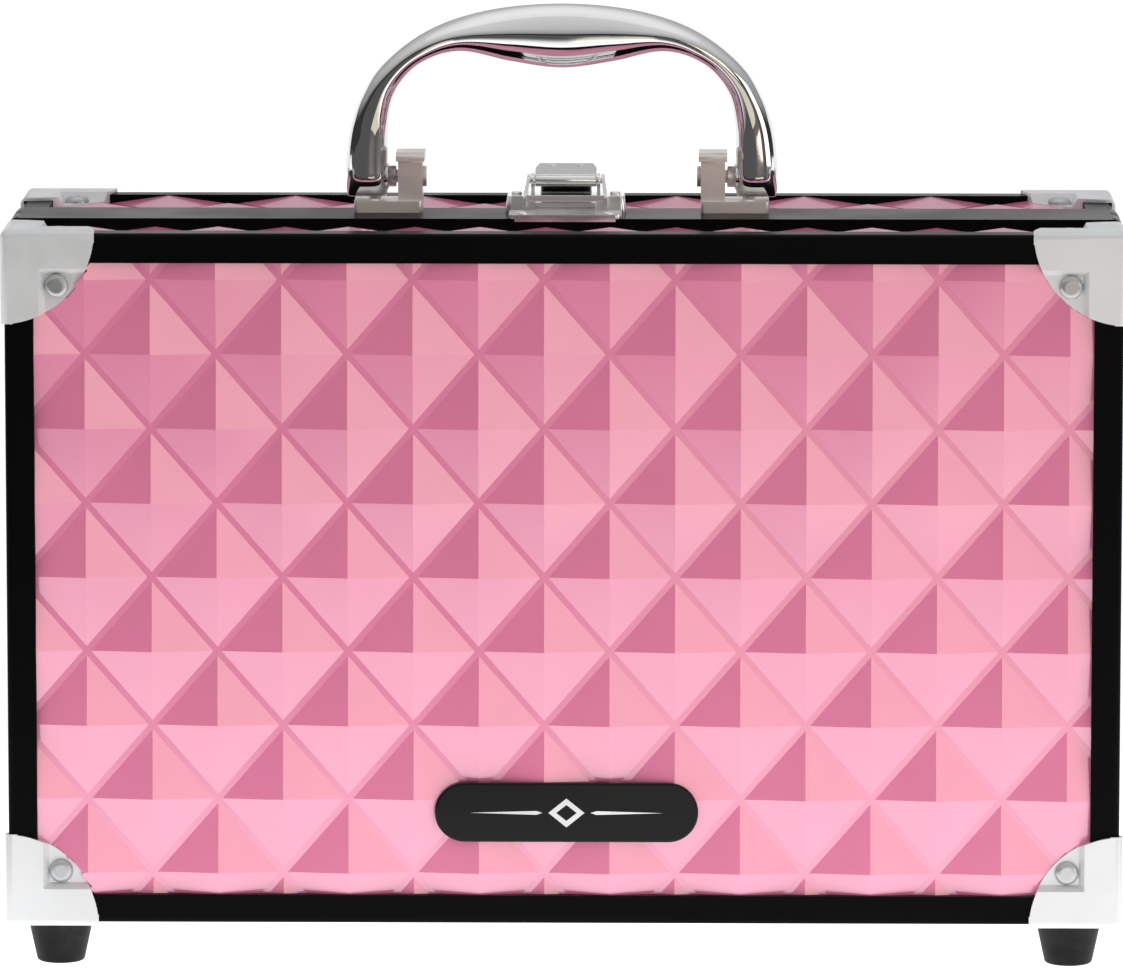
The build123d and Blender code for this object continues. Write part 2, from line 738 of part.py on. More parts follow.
# ---------------------------------------------------------------- latch
plate = 0.9
body_half = 14.3
body_middle = 6.6  # behind the parting line
body_depth = 11.2
body_height = 3.9
body_wall = 0.9
tab_half = 6.0
tab_height = 4.6
catch_half = 13.2
catch_middle = -6.0
catch_depth = 10.2
lip_height = 0.7
hook_half = 7.0
lever_half = 7.2
lever_barrel = 1.5
lever_pin_radius = 0.75
ear_start = 7.3
ear_width = 0.8
bail_pin_radius = 0.7
bail_pin_half = 9.2
turning_gap = 0.06


def latch_profile(x):
    """The plane of a side view of the latch, at the given distance from its middle."""
    return Plane(origin=latch_origin + Vector(x, 0, 0), x_dir=(0, 1, 0), z_dir=(1, 0, 0))


def latch_level(y, z):
    """A horizontal plane at a point of the side view of the latch."""
    return Plane(origin=latch_origin + Vector(0, y, z))


with BuildPart() as latch_catch:
    with BuildSketch(latch_level(catch_middle, 0)):
        RectangleRounded(2 * catch_half, catch_depth, 1.4)
    extrude(amount=plate)
    front_lip = catch_middle - catch_depth / 2
    with BuildSketch(latch_profile(-catch_half + 1.4)):
        Polygon(
            (front_lip, -lip_height), (front_lip, plate), (front_lip + 1, plate), (front_lip + 1, 0),
            (front_lip + 0.05, 0), (front_lip + 0.05, -lip_height),
            align=None,
        )
    extrude(amount=2 * catch_half - 2.8)
    with BuildSketch(latch_profile(-hook_half)):
        Polygon(
            (-4.4, 0.5), (-4.4, 2.6), (-5.0, 3.3), (-6.6, 3.3), (-6.6, 2.5), (-5.5, 2.3), (-5.5, 0.5),
            align=None,
        )
    extrude(amount=2 * hook_half)
write(latch_catch.part, "latch_catch")

with BuildPart() as latch_body:
    with BuildSketch(latch_level(body_middle, 0)):
        RectangleRounded(2 * body_half, body_depth, 1.2)
    with BuildSketch(latch_level(body_middle, body_height)):
        RectangleRounded(2 * body_half - 1.2, body_depth - 1.0, 1.0)
    loft()
    with BuildSketch(latch_level(body_middle, 0)):
        Rectangle(2 * (body_half - body_wall), body_depth - 2 * body_wall)
    with BuildSketch(latch_level(body_middle, body_height - body_wall)):
        Rectangle(2 * (body_half - body_wall) - 1.2, body_depth - 2 * body_wall - 1.0)
    loft(mode=Mode.SUBTRACT)
    for start in (ear_start, -ear_start - ear_width):
        with BuildSketch(latch_profile(start)):
            with Locations((lever_pivot.Y, lever_pivot.Z)):
                Circle(1.6)
            with Locations((lever_pivot.Y + 0.5, body_height - 0.5)):
                ear_rise = lever_pivot.Z - body_height + 0.5
                Rectangle(3.2, ear_rise, align=(Align.CENTER, Align.MIN))
        extrude(amount=ear_width)
    with BuildSketch(latch_level(10.0, body_height - 0.5)):
        Rectangle(2 * tab_half, plate)
    extrude(amount=tab_height + 0.5)
    with BuildSketch(latch_profile(-9.0)):
        with Locations((lever_pivot.Y, lever_pivot.Z)):
            Circle(lever_pin_radius)
    extrude(amount=18.0, mode=Mode.SUBTRACT)
write(latch_body.part, "latch_body")

with BuildPart() as lever_pin:
    pin_half = ear_start + ear_width
    with BuildSketch(latch_profile(-pin_half)):
        with Locations((lever_pivot.Y, lever_pivot.Z)):
            Circle(lever_pin_radius)
    extrude(amount=2 * pin_half)
write(lever_pin.part, "lever_pin")

with BuildPart() as latch_lever:
    with BuildSketch(latch_profile(-lever_half)):
        with Locations((lever_pivot.Y, lever_pivot.Z)):
            Circle(lever_barrel)
        Polygon((2.4, 8.3), (2.4, 9.1), (13.6, 10.4), (13.8, 9.6), (3.6, 8.3), align=None)
    extrude(amount=2 * lever_half)
    with BuildSketch(latch_level(0, 0)):
        Polygon((-8, -1), (8, -1), (8, 5), (6.2, 14.2), (-6.2, 14.2), (-8, 5), align=None)
    extrude(amount=12.0, mode=Mode.INTERSECT)
    for start in (lever_half - 0.9, -lever_half):
        with BuildSketch(latch_profile(start)):
            Polygon(
                (3.2, 8.6), (8.6, 9.6), (8.6, 6.4), (7.8, 5.8), (6.2, 5.8), (3.2, 6.6), align=None
            )
        extrude(amount=0.9)
    with BuildSketch(latch_profile(-8.0)):
        with Locations((lever_pivot.Y, lever_pivot.Z)):
            Circle(lever_pin_radius + turning_gap)
        with Locations((bail_pivot.Y, bail_pivot.Z)):
            Circle(bail_pin_radius)
    extrude(amount=16.0, mode=Mode.SUBTRACT)
write(latch_lever.part, "latch_lever")

with BuildPart() as bail_pin:
    with BuildSketch(latch_profile(-bail_pin_half)):
        with Locations((bail_pivot.Y, bail_pivot.Z)):
            Circle(bail_pin_radius)
    extrude(amount=2 * bail_pin_half)
write(bail_pin.part, "bail_pin")

# The bail's two arms spread towards the bar that hooks over the catch.
with BuildPart() as latch_bail:
    with BuildSketch(latch_profile(0)):
        with Locations((bail_pivot.Y, bail_pivot.Z)):
            Circle(1.5)
        Polygon(
            (7.2, 6.0), (7.2, 8.0), (-5.2, 5.2), (-6.6, 4.5), (-6.6, 2.3), (-5.2, 2.3), (-4.6, 3.7),
            align=None,
        )
    extrude(amount=11.0)
    with BuildSketch(latch_level(0, 0)):
        Polygon((8.2, 9), (9.0, 9), (9.9, -7), (9.1, -7), align=None)
    extrude(amount=12.0, mode=Mode.INTERSECT)
    mirror(about=Plane.YZ)
    with BuildSketch(latch_profile(-9.4)):
        with Locations((-5.8, 4.3)):
            Rectangle(1.4, 1.3)
    extrude(amount=18.8)
    with BuildSketch(latch_profile(-10.4)):
        with Locations((bail_pivot.Y, bail_pivot.Z)):
            Circle(bail_pin_radius + turning_gap)
    extrude(amount=20.8, mode=Mode.SUBTRACT)
write(latch_bail.part, "latch_bail")

with BuildPart() as lever_rivets:
    for x in (-3.3, 3.3):
        seat = Plane(origin=latch_origin + Vector(x, 11.6, 10.16), z_dir=(0, -0.116, 1))
        add(rivet(seat, 0.9, 0.3, 0.5, 0.8))
write(lever_rivets.part, "lever_rivets")

with BuildPart() as catch_rivets:
    for x in (-10.0, 10.0):
        seat = Plane(origin=latch_origin + Vector(x, -8.4, plate))
        add(rivet(seat, 1.3, 0.6, 0.8, plate + rim_proud + rim_depth))
write(catch_rivets.part, "catch_rivets")

with BuildPart() as latch_rivets:
    for x in (-11.6, 11.6):
        seat = Plane(origin=latch_origin + Vector(x, body_middle, body_height))
        add(rivet(seat, 1.3, 0.6, 0.8, body_height + rim_proud + rim_depth))
write(latch_rivets.part, "latch_rivets")
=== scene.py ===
"""Looks of the makeup train case: embossed pink panels, black edging, pressed corners, chrome handle."""

import bpy
import json
import math
import numpy as np
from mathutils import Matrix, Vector


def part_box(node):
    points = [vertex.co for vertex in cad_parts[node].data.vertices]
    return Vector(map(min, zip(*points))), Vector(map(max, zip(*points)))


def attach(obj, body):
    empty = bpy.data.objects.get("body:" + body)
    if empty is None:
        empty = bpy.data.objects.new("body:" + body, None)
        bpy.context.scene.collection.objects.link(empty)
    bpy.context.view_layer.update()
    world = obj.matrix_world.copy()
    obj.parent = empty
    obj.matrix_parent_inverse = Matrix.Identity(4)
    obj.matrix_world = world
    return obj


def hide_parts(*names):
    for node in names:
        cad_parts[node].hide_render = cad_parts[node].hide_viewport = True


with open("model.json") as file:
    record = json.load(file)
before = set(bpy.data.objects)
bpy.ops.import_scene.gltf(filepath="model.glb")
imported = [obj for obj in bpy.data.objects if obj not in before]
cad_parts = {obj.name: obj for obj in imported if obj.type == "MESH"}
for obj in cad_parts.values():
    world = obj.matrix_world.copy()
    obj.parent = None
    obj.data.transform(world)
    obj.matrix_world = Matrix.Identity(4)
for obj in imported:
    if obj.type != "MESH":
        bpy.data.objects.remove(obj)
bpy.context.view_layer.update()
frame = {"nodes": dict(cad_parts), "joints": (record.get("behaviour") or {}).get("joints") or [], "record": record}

MM = 0.001
nodes = frame["nodes"]
joints = {joint["name"]: joint for joint in frame["joints"]}

# ---------------------------------------------------------------- places read from the frame
rails_low, rails_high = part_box("front_edge_rails")
rear_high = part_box("rear_edge_rails")[1]
lid_rim_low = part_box("lid_rim_rails")[0]
base_rim_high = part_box("base_rim_rails")[1]

HALF_WIDTH = rails_high[0]
BOTTOM = rails_low[2]
TOP = rails_high[2]
FRONT = rails_low[1]
REAR = rear_high[1]
MIDDLE_Z = (BOTTOM + TOP) / 2
RAIL = rails_high[1] - rails_low[1]
FLANGE = 2.1 * MM
SKIN = 0.9 * MM

# ---------------------------------------------------------------- embossed pattern
PITCH_X = 15.21 * MM
PITCH_Z = 17.42 * MM
RELIEF = 2.0 * MM
SHIFT = 10.7 * MM
RISE = 0.5 * MM
CORNER_REACH = 21.8 * MM
CORNER_PROUD = 0.8 * MM
UNDER_CORNER = 0.25 * MM


# ---------------------------------------------------------------- material helpers
class Shade:
    """A node tree builder with short names for the nodes that the materials share."""

    def __init__(self, name):
        self.material = bpy.data.materials.new(name)
        self.material.use_nodes = True
        self.tree = self.material.node_tree
        self.bsdf = self.tree.nodes["Principled BSDF"]

    def node(self, kind, **values):
        made = self.tree.nodes.new(kind)
        for key, value in values.items():
            setattr(made, key, value)
        return made

    def link(self, source, target):
        self.tree.links.new(source, target)

    def set(self, **values):
        for key, value in values.items():
            self.bsdf.inputs[key.replace("_", " ").title().replace("Ior", "IOR")].default_value = value

    def position(self, scale=(1.0, 1.0, 1.0)):
        coords = self.node("ShaderNodeTexCoord")
        mapping = self.node("ShaderNodeMapping")
        mapping.inputs["Scale"].default_value = scale
        self.link(coords.outputs["Object"], mapping.inputs["Vector"])
        return mapping.outputs["Vector"]

    def noise(self, scale, detail=4.0, roughness=0.55, stretch=(1.0, 1.0, 1.0)):
        made = self.node("ShaderNodeTexNoise")
        made.inputs["Scale"].default_value = scale
        made.inputs["Detail"].default_value = detail
        made.inputs["Roughness"].default_value = roughness
        self.link(self.position(stretch), made.inputs["Vector"])
        return made.outputs["Fac"]

    def ramp(self, source, stops):
        made = self.node("ShaderNodeValToRGB")
        made.color_ramp.interpolation = "EASE"
        elements = made.color_ramp.elements
        while len(elements) < len(stops):
            elements.new(0.5)
        for element, (place, colour) in zip(elements, stops):
            element.position = place
            element.color = (*colour, 1.0) if isinstance(colour, tuple) else (colour,) * 3 + (1.0,)
        self.link(source, made.inputs["Fac"])
        return made.outputs["Color"]

    def spread(self, source, low, high, from_low=0.3, from_high=0.7):
        made = self.node("ShaderNodeMapRange", interpolation_type="SMOOTHSTEP")
        made.inputs["From Min"].default_value = from_low
        made.inputs["From Max"].default_value = from_high
        made.inputs["To Min"].default_value = low
        made.inputs["To Max"].default_value = high
        self.link(source, made.inputs["Value"])
        return made.outputs["Result"]

    def mix(self, factor, first, second):
        made = self.node("ShaderNodeMix", data_type="RGBA")
        self.feed(factor, made.inputs["Factor"])
        self.feed(first, made.inputs["A"])
        self.feed(second, made.inputs["B"])
        return made.outputs["Result"]

    def feed(self, source, target):
        if isinstance(source, (int, float)):
            target.default_value = source
        elif isinstance(source, tuple):
            target.default_value = (*source, 1.0)
        else:
            self.link(source, target)

    def edges(self, radius):
        """Wear mask: 1 on sharp convex edges, from the difference of a bevelled normal."""
        bevel = self.node("ShaderNodeBevel", samples=4)
        bevel.inputs["Radius"].default_value = radius
        geometry = self.node("ShaderNodeNewGeometry")
        dot = self.node("ShaderNodeVectorMath", operation="DOT_PRODUCT")
        self.link(bevel.outputs["Normal"], dot.inputs[0])
        self.link(geometry.outputs["Normal"], dot.inputs[1])
        return self.spread(dot.outputs["Value"], 1.0, 0.0, 0.86, 0.995)

    def bump(self, source, distance, strength, below=None):
        made = self.node("ShaderNodeBump")
        made.inputs["Strength"].default_value = strength
        made.inputs["Distance"].default_value = distance
        self.link(source, made.inputs["Height"])
        if below is not None:
            self.link(below, made.inputs["Normal"])
        return made.outputs["Normal"]

    def finish(self, colour=None, roughness=None, normal=None):
        if colour is not None:
            self.feed(colour, self.bsdf.inputs["Base Color"])
        if roughness is not None:
            self.feed(roughness, self.bsdf.inputs["Roughness"])
        if normal is not None:
            self.link(normal, self.bsdf.inputs["Normal"])
        return self.material


def pink_sheet_material():
    s = Shade("pink_embossed_sheet")
    s.set(specular_ior_level=1.0, coat_weight=1.0, coat_roughness=0.12)
    s.bsdf.inputs["Coat IOR"].default_value = 2.0
    blotch = s.noise(38.0, 3.0)
    grain = s.noise(900.0, 3.0)
    colour = s.ramp(blotch, [(0.3, (0.88, 0.23, 0.415)), (0.7, (0.92, 0.245, 0.435))])
    roughness = s.spread(grain, 0.275, 0.30)
    normal = s.bump(grain, 0.015 * MM, 0.4)
    normal = s.bump(s.noise(22.0, 1.0, 0.3), 0.25 * MM, 0.15, normal)
    s.link(normal, s.bsdf.inputs["Coat Normal"])
    return s.finish(colour, roughness, normal)


def black_edging_material():
    s = Shade("black_anodised_edging")
    s.set(specular_ior_level=0.03)
    brushed = s.noise(420.0, 5.0, 0.6)
    cloudy = s.noise(25.0, 3.0)
    wear = s.edges(0.35 * MM)
    scuffed = s.noise(110.0, 6.0, 0.7)
    worn = s.node("ShaderNodeMath", operation="MULTIPLY")
    s.link(wear, worn.inputs[0])
    s.link(s.spread(scuffed, 0.0, 1.0, 0.5, 0.68), worn.inputs[1])
    colour = s.mix(worn.outputs["Value"], (0.003, 0.003, 0.0033), (0.04, 0.04, 0.042))
    roughness = s.spread(cloudy, 0.26, 0.34)
    return s.finish(colour, roughness, s.bump(brushed, 0.012 * MM, 0.3))


def metal_material(name, colour, rough, grain=500.0, depth=0.02 * MM, worn=(0.86, 0.86, 0.87), metallic=1.0):
    s = Shade(name)
    s.set(metallic=metallic)
    fine = s.noise(grain, 5.0, 0.6)
    cloudy = s.noise(30.0, 4.0)
    smudge = s.noise(130.0, 6.0, 0.65)
    wear = s.edges(0.3 * MM)
    tone = s.ramp(cloudy, [(0.3, tuple(c * 0.93 for c in colour)), (0.7, colour)])
    colour_out = s.mix(s.spread(wear, 0.0, 0.6, 0.0, 1.0), tone, worn)
    roughness = s.spread(smudge, rough * 0.8, rough * 1.25)
    return s.finish(colour_out, roughness, s.bump(fine, depth, 0.4))


def rubber_material():
    s = Shade("black_rubber")
    s.set(specular_ior_level=0.12)
    fine = s.noise(1500.0, 3.0)
    dust = s.noise(90.0, 6.0, 0.7)
    colour = s.ramp(dust, [(0.35, (0.010, 0.010, 0.011)), (0.75, (0.030, 0.029, 0.028))])
    return s.finish(colour, s.spread(dust, 0.42, 0.58), s.bump(fine, 0.05 * MM, 0.5))


def gloss_black_material():
    s = Shade("gloss_black_badge")
    s.set(specular_ior_level=0.2)
    smudge = s.noise(140.0, 5.0)
    scratch = s.noise(700.0, 2.0, 0.5, (1.0, 1.0, 14.0))
    colour = s.ramp(smudge, [(0.3, (0.003, 0.003, 0.003)), (0.8, (0.005, 0.005, 0.0055))])
    return s.finish(colour, s.spread(smudge, 0.10, 0.18), s.bump(scratch, 0.01 * MM, 0.3))


def board_material():
    s = Shade("fibreboard")
    fibres = s.noise(260.0, 8.0, 0.7, (1.0, 1.0, 3.0))
    colour = s.ramp(fibres, [(0.3, (0.30, 0.20, 0.12)), (0.7, (0.46, 0.33, 0.21))])
    return s.finish(colour, 0.85, s.bump(fibres, 0.15 * MM, 0.6))


def cloth_material(name, dark, light, nap):
    s = Shade(name)
    s.set(sheen_weight=0.35, sheen_roughness=0.4)
    cells = s.node("ShaderNodeTexVoronoi")
    cells.inputs["Scale"].default_value = nap
    s.link(s.position(), cells.inputs["Vector"])
    cloudy = s.noise(45.0, 6.0, 0.65)
    colour = s.ramp(cloudy, [(0.3, dark), (0.7, light)])
    normal = s.bump(cells.outputs["Distance"], 0.12 * MM, 0.7)
    normal = s.bump(s.noise(nap * 1.7, 2.0), 0.06 * MM, 0.5, normal)
    return s.finish(colour, s.spread(cloudy, 0.82, 0.95), normal)


def trim_material():
    s = Shade("black_trim_plastic")
    fine = s.noise(1100.0, 4.0)
    cloudy = s.noise(60.0, 4.0)
    return s.finish((0.014, 0.014, 0.015), s.spread(cloudy, 0.38, 0.5), s.bump(fine, 0.03 * MM, 0.5))


def mirror_material():
    s = Shade("silvered_mirror")
    s.set(metallic=1.0)
    smudge = s.noise(30.0, 6.0, 0.6)
    return s.finish((0.90, 0.92, 0.92), s.spread(smudge, 0.01, 0.05, 0.45, 0.8))


pink_sheet = pink_sheet_material()
black_edging = black_edging_material()
corner_silver = metal_material("corner_silver", (0.785, 0.80, 0.815), 0.38, 700.0, 0.03 * MM, metallic=0.22)
rivet_steel = metal_material("rivet_steel", (0.52, 0.53, 0.54), 0.32, metallic=0.7)
screw_steel = metal_material("screw_steel", (0.50, 0.50, 0.51), 0.30)
# near-black steel for the strip that paints the shade under the latch's lever
painted_shade_steel = metal_material("painted_shade_steel", (0.035, 0.035, 0.045), 0.30, worn=(0.2, 0.2, 0.22))
hinge_steel = metal_material("hinge_steel", (0.58, 0.58, 0.58), 0.28)
bracket_nickel = metal_material("bracket_nickel", (0.86, 0.81, 0.775), 0.34, 650.0, 0.03 * MM, metallic=0.55)
latch_nickel = metal_material("latch_nickel", (0.93, 0.94, 0.93), 0.15, metallic=0.75)
handle_chrome = metal_material("handle_chrome", (0.78, 0.78, 0.79), 0.05, 300.0, 0.004 * MM)
emblem_silver = metal_material("emblem_silver", (0.74, 0.74, 0.75), 0.2)
foot_rubber = rubber_material()
badge_gloss = gloss_black_material()
fibreboard = board_material()
lining_cloth = cloth_material("lining_cloth", (0.022, 0.021, 0.023), (0.042, 0.040, 0.043), 2600.0)
divider_cloth = cloth_material("divider_cloth", (0.034, 0.033, 0.035), (0.060, 0.058, 0.061), 2200.0)
trim_plastic = trim_material()
mirror_silver = mirror_material()

finishes = {
    "pink_skin": pink_sheet,
    "board": fibreboard,
    "black_edging": black_edging,
    "corner_steel": corner_silver,
    "rivet_steel": rivet_steel,
    "foot_rubber": foot_rubber,
    "screw_steel": screw_steel,
    "badge_gloss": badge_gloss,
    "emblem_silver": emblem_silver,
    "lining_fabric": lining_cloth,
    "mirror_glass": mirror_silver,
    "trim_plastic": trim_plastic,
    "divider_fabric": divider_cloth,
    "hinge_steel": hinge_steel,
    "bracket_nickel": bracket_nickel,
    "handle_chrome": handle_chrome,
    "latch_nickel": latch_nickel,
}
slot_of = {part["node"]: part["material_slot"] for part in frame["record"]["subparts"]}

for name, obj in nodes.items():
    obj.data.materials.clear()
    obj.data.materials.append(finishes[slot_of[name]])


SHARP_ANGLE = math.radians(30.0)
RAIL_ROUNDING = (0.25, 3)
# Radius in mm and number of segments, for each slot of CAD nodes that is rounded.
SLOT_ROUNDING = {
    "corner_steel": (0.35, 3),
    "bracket_nickel": (0.35, 3),
    "latch_nickel": (0.18, 3),
    "hinge_steel": (0.18, 3),
    "foot_rubber": (0.18, 3),
    "trim_plastic": (0.18, 3),
    "mirror_glass": (0.8, 2),
}


def softened(name, radius, segments):
    """Rounds the sharp edges of a CAD node with modifiers."""
    obj = nodes[name]
    weld = obj.modifiers.new("weld", "WELD")
    weld.merge_threshold = 0.002 * MM
    bevel = obj.modifiers.new("bevel", "BEVEL")
    bevel.width = radius * MM
    bevel.segments = segments
    bevel.limit_method = "ANGLE"
    bevel.angle_limit = SHARP_ANGLE
    bevel.harden_normals = True


for name in nodes:
    if name.endswith(("_rails", "_posts")):
        softened(name, *RAIL_ROUNDING)
    elif slot_of[name] in SLOT_ROUNDING:
        softened(name, *SLOT_ROUNDING[slot_of[name]])


# ---------------------------------------------------------------- mesh helpers
def make_object(name, vertices, faces, material, body, smooth=True):
    mesh = bpy.data.meshes.new(name)
    mesh.from_pydata(vertices, [], faces)
    mesh.update()
    if smooth:
        mesh.polygons.foreach_set("use_smooth", [True] * len(mesh.polygons))
    mesh.materials.append(material)
    obj = bpy.data.objects.new(name, mesh)
    bpy.context.scene.collection.objects.link(obj)
    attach(obj, body)
    return obj


# Cells in half a rhombus. The valley is as wide as two rows of their diagonals.
CELLS = 16
PERIOD = 2 * PITCH_X * PITCH_Z / math.hypot(PITCH_X, PITCH_Z)


def ridge_wave(distance):
    """Height of one set of ridges, from 0 along the flat valleys to 1 on the crests."""
    folded = np.abs((distance / PERIOD + 0.5) % 1.0 - 0.5) * 2
    foot = 1.0 - 1.0 / CELLS
    return np.clip((foot - folded) / foot, 0.0, 1.0)


def pyramid_height(u, v):
    """Relief of the rhombic pyramids at sheet coordinates, 0 in the valleys and RELIEF at the tips."""
    side = math.hypot(PITCH_X, PITCH_Z)
    first = ridge_wave((u * PITCH_Z - v * PITCH_X) / side)
    second = ridge_wave((u * PITCH_Z + v * PITCH_X) / side)
    return np.minimum(first, second) * RELIEF


def embossed_sheet(name, body, node, origin, x_dir, y_dir, normal, window, apex, notches):
    """A closed sheet of pyramids. Every cell has a middle point, so that all creases lie on edges."""
    lines = []
    for half, pitch, start in ((window[0] / 2, PITCH_X, apex[0]), (window[1] / 2, PITCH_Z, apex[1])):
        step = pitch / CELLS
        first = math.floor((-half - start) / step)
        last = math.ceil((half - start) / step)
        lines.append(start + np.arange(first, last + 1) * step)
    corners = np.stack(np.meshgrid(*lines, indexing="ij"), axis=-1)
    middles = (corners[:-1, :-1] + corners[1:, 1:]) / 2
    columns, rows = corners.shape[:2]
    flat_points = np.concatenate((corners.reshape(-1, 2), middles.reshape(-1, 2)))
    height = pyramid_height(flat_points[:, 0] - apex[0], flat_points[:, 1] - apex[1])
    for notch in notches:
        distance = np.hypot(*(flat_points - notch).T)
        height = np.where(distance < CORNER_REACH - UNDER_CORNER, 0.0, height)
    origin, x_dir, y_dir, normal = (np.array(part) for part in (origin, x_dir, y_dir, normal))
    flat = origin + flat_points[:, :1] * x_dir + flat_points[:, 1:] * y_dir
    top = flat + height[:, None] * normal
    index = np.arange(columns * rows).reshape(columns, rows)
    centre = columns * rows + np.arange((columns - 1) * (rows - 1)).reshape(columns - 1, rows - 1)
    ring = (index[:-1, :-1], index[1:, :-1], index[1:, 1:], index[:-1, 1:])
    faces = []
    for here in range(4):
        faces += np.stack((ring[here], ring[(here + 1) % 4], centre), axis=-1).reshape(-1, 3).tolist()
    rim = list(index[:, 0]) + list(index[-1, 1:]) + list(index[-2::-1, -1]) + list(index[0, -2:0:-1])
    under = (flat[rim] - SKIN * normal).tolist()
    count = len(top)
    for here in range(len(rim)):
        after = (here + 1) % len(rim)
        faces.append([int(rim[after]), int(rim[here]), count + here, count + after])
    faces.append([count + place for place in reversed(range(len(rim)))])
    sheet = make_object(name, top.tolist() + under, faces, pink_sheet, body, smooth=False)
    if node:
        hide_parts(node)
    return sheet


OVERLAP = 0.1 * MM
panel_window = (2 * (HALF_WIDTH - RAIL) + OVERLAP, TOP - BOTTOM - 2 * RAIL + OVERLAP)
corner_u = HALF_WIDTH + CORNER_PROUD
corner_v = (TOP - BOTTOM) / 2 + CORNER_PROUD
panel_notches = [(a * corner_u, b * corner_v) for a in (1, -1) for b in (1, -1)]
face_sheets = (
    ("front", "lid", FRONT + FLANGE, (1, 0, 0), (0, -1, 0)),
    ("rear", "base", REAR - FLANGE, (-1, 0, 0), (0, 1, 0)),
)
for face, half, sheet_y, run, normal in face_sheets:
    embossed_sheet(
        f"{face}_embossed_sheet", half, f"{face}_skin", (0, sheet_y, MIDDLE_Z), run, (0, 0, 1), normal,
        panel_window, (SHIFT, RISE), panel_notches,
    )

walls = {
    "top": ((0, 0, 1), (1, 0, 0), (0, 0, TOP), HALF_WIDTH),
    "bottom": ((0, 0, -1), (-1, 0, 0), (0, 0, BOTTOM), HALF_WIDTH),
    "right": ((1, 0, 0), (0, 0, -1), (HALF_WIDTH, 0, MIDDLE_Z), (TOP - BOTTOM) / 2),
    "left": ((-1, 0, 0), (0, 0, 1), (-HALF_WIDTH, 0, MIDDLE_Z), (TOP - BOTTOM) / 2),
}


def wall_sheets(half, body, start, end, corner_y):
    for wall, (normal, run, middle, reach) in walls.items():
        centre = Vector(middle) + Vector((0, (start + end) / 2, 0)) - Vector(normal) * FLANGE
        window = (2 * (reach - RAIL) + OVERLAP, end - start + OVERLAP)
        notch_v = corner_y - (start + end) / 2
        notch_u = reach + CORNER_PROUD
        apex = (SHIFT * run[0], 0.0)
        embossed_sheet(
            f"{half}_{wall}_embossed_sheet", body, None, centre, run, (0, 1, 0), normal,
            window, apex, [(notch_u, notch_v), (-notch_u, notch_v)],
        )
    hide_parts(f"{half}_wall_skins")


wall_sheets("lid", "lid", FRONT + RAIL, lid_rim_low[1], FRONT - CORNER_PROUD)
wall_sheets("base", "base", base_rim_high[1], REAR - RAIL, REAR + CORNER_PROUD)


# ---------------------------------------------------------------- handle
RIM_TOP = base_rim_high[2]
PIVOT = Vector(joints["handle_swing"]["pos_m"])
LEG_ROUND = 4.8
GRIP_EXTRA = 2.0
# Heights between which the leg widens into the grip, and where the grip's taper begins.
GRIP_FROM = 18.0
GRIP_RUN = 22.0
TAPER_FROM = 30
TAPER_REACH = 33.0
TAPER = 0.30
CREASE = 0.1
SQUARENESS = 0.84

# Right half of the bow, in mm: distance from the middle, height above the rims.
OUTER_LINE = [(50.7, 8.0), (50.7, 12.2), (49.6, 19.8), (47.2, 26.7), (43.0, 33.6), (35.3, 40.3), (26.0, 44.9),
              (14.0, 47.8), (0.0, 48.8)]
INNER_LINE = [(40.9, 8.0), (40.9, 14.2), (40.6, 21.2), (38.6, 28.5), (33.0, 34.6), (24.0, 37.4), (12.0, 35.1),
              (0.0, 33.6)]


def smooth_line(half_line, count):
    """Evenly spaced points on a Catmull-Rom curve through the given points and their mirror image."""
    points = np.array(half_line + [(-x, z) for x, z in reversed(half_line[:-1])])
    padded = np.vstack((2 * points[0] - points[1], points, 2 * points[-1] - points[-2]))
    dense = []
    for i in range(len(points) - 1):
        p0, p1, p2, p3 = padded[i:i + 4]
        for t in np.linspace(0, 1, 24, endpoint=False):
            dense.append(0.5 * (2 * p1 + (p2 - p0) * t + (2 * p0 - 5 * p1 + 4 * p2 - p3) * t * t
                                + (3 * p1 - p0 - 3 * p2 + p3) * t ** 3))
    dense.append(points[-1])
    dense = np.array(dense)
    length = np.concatenate(([0], np.cumsum(np.linalg.norm(np.diff(dense, axis=0), axis=1))))
    places = np.linspace(0, length[-1], count)
    return np.stack([np.interp(places, length, dense[:, axis]) for axis in (0, 1)], axis=1)


def squared(part):
    """Turns a circle's sine or cosine into a slightly squarer outline's."""
    return math.copysign(abs(part) ** SQUARENESS, part)


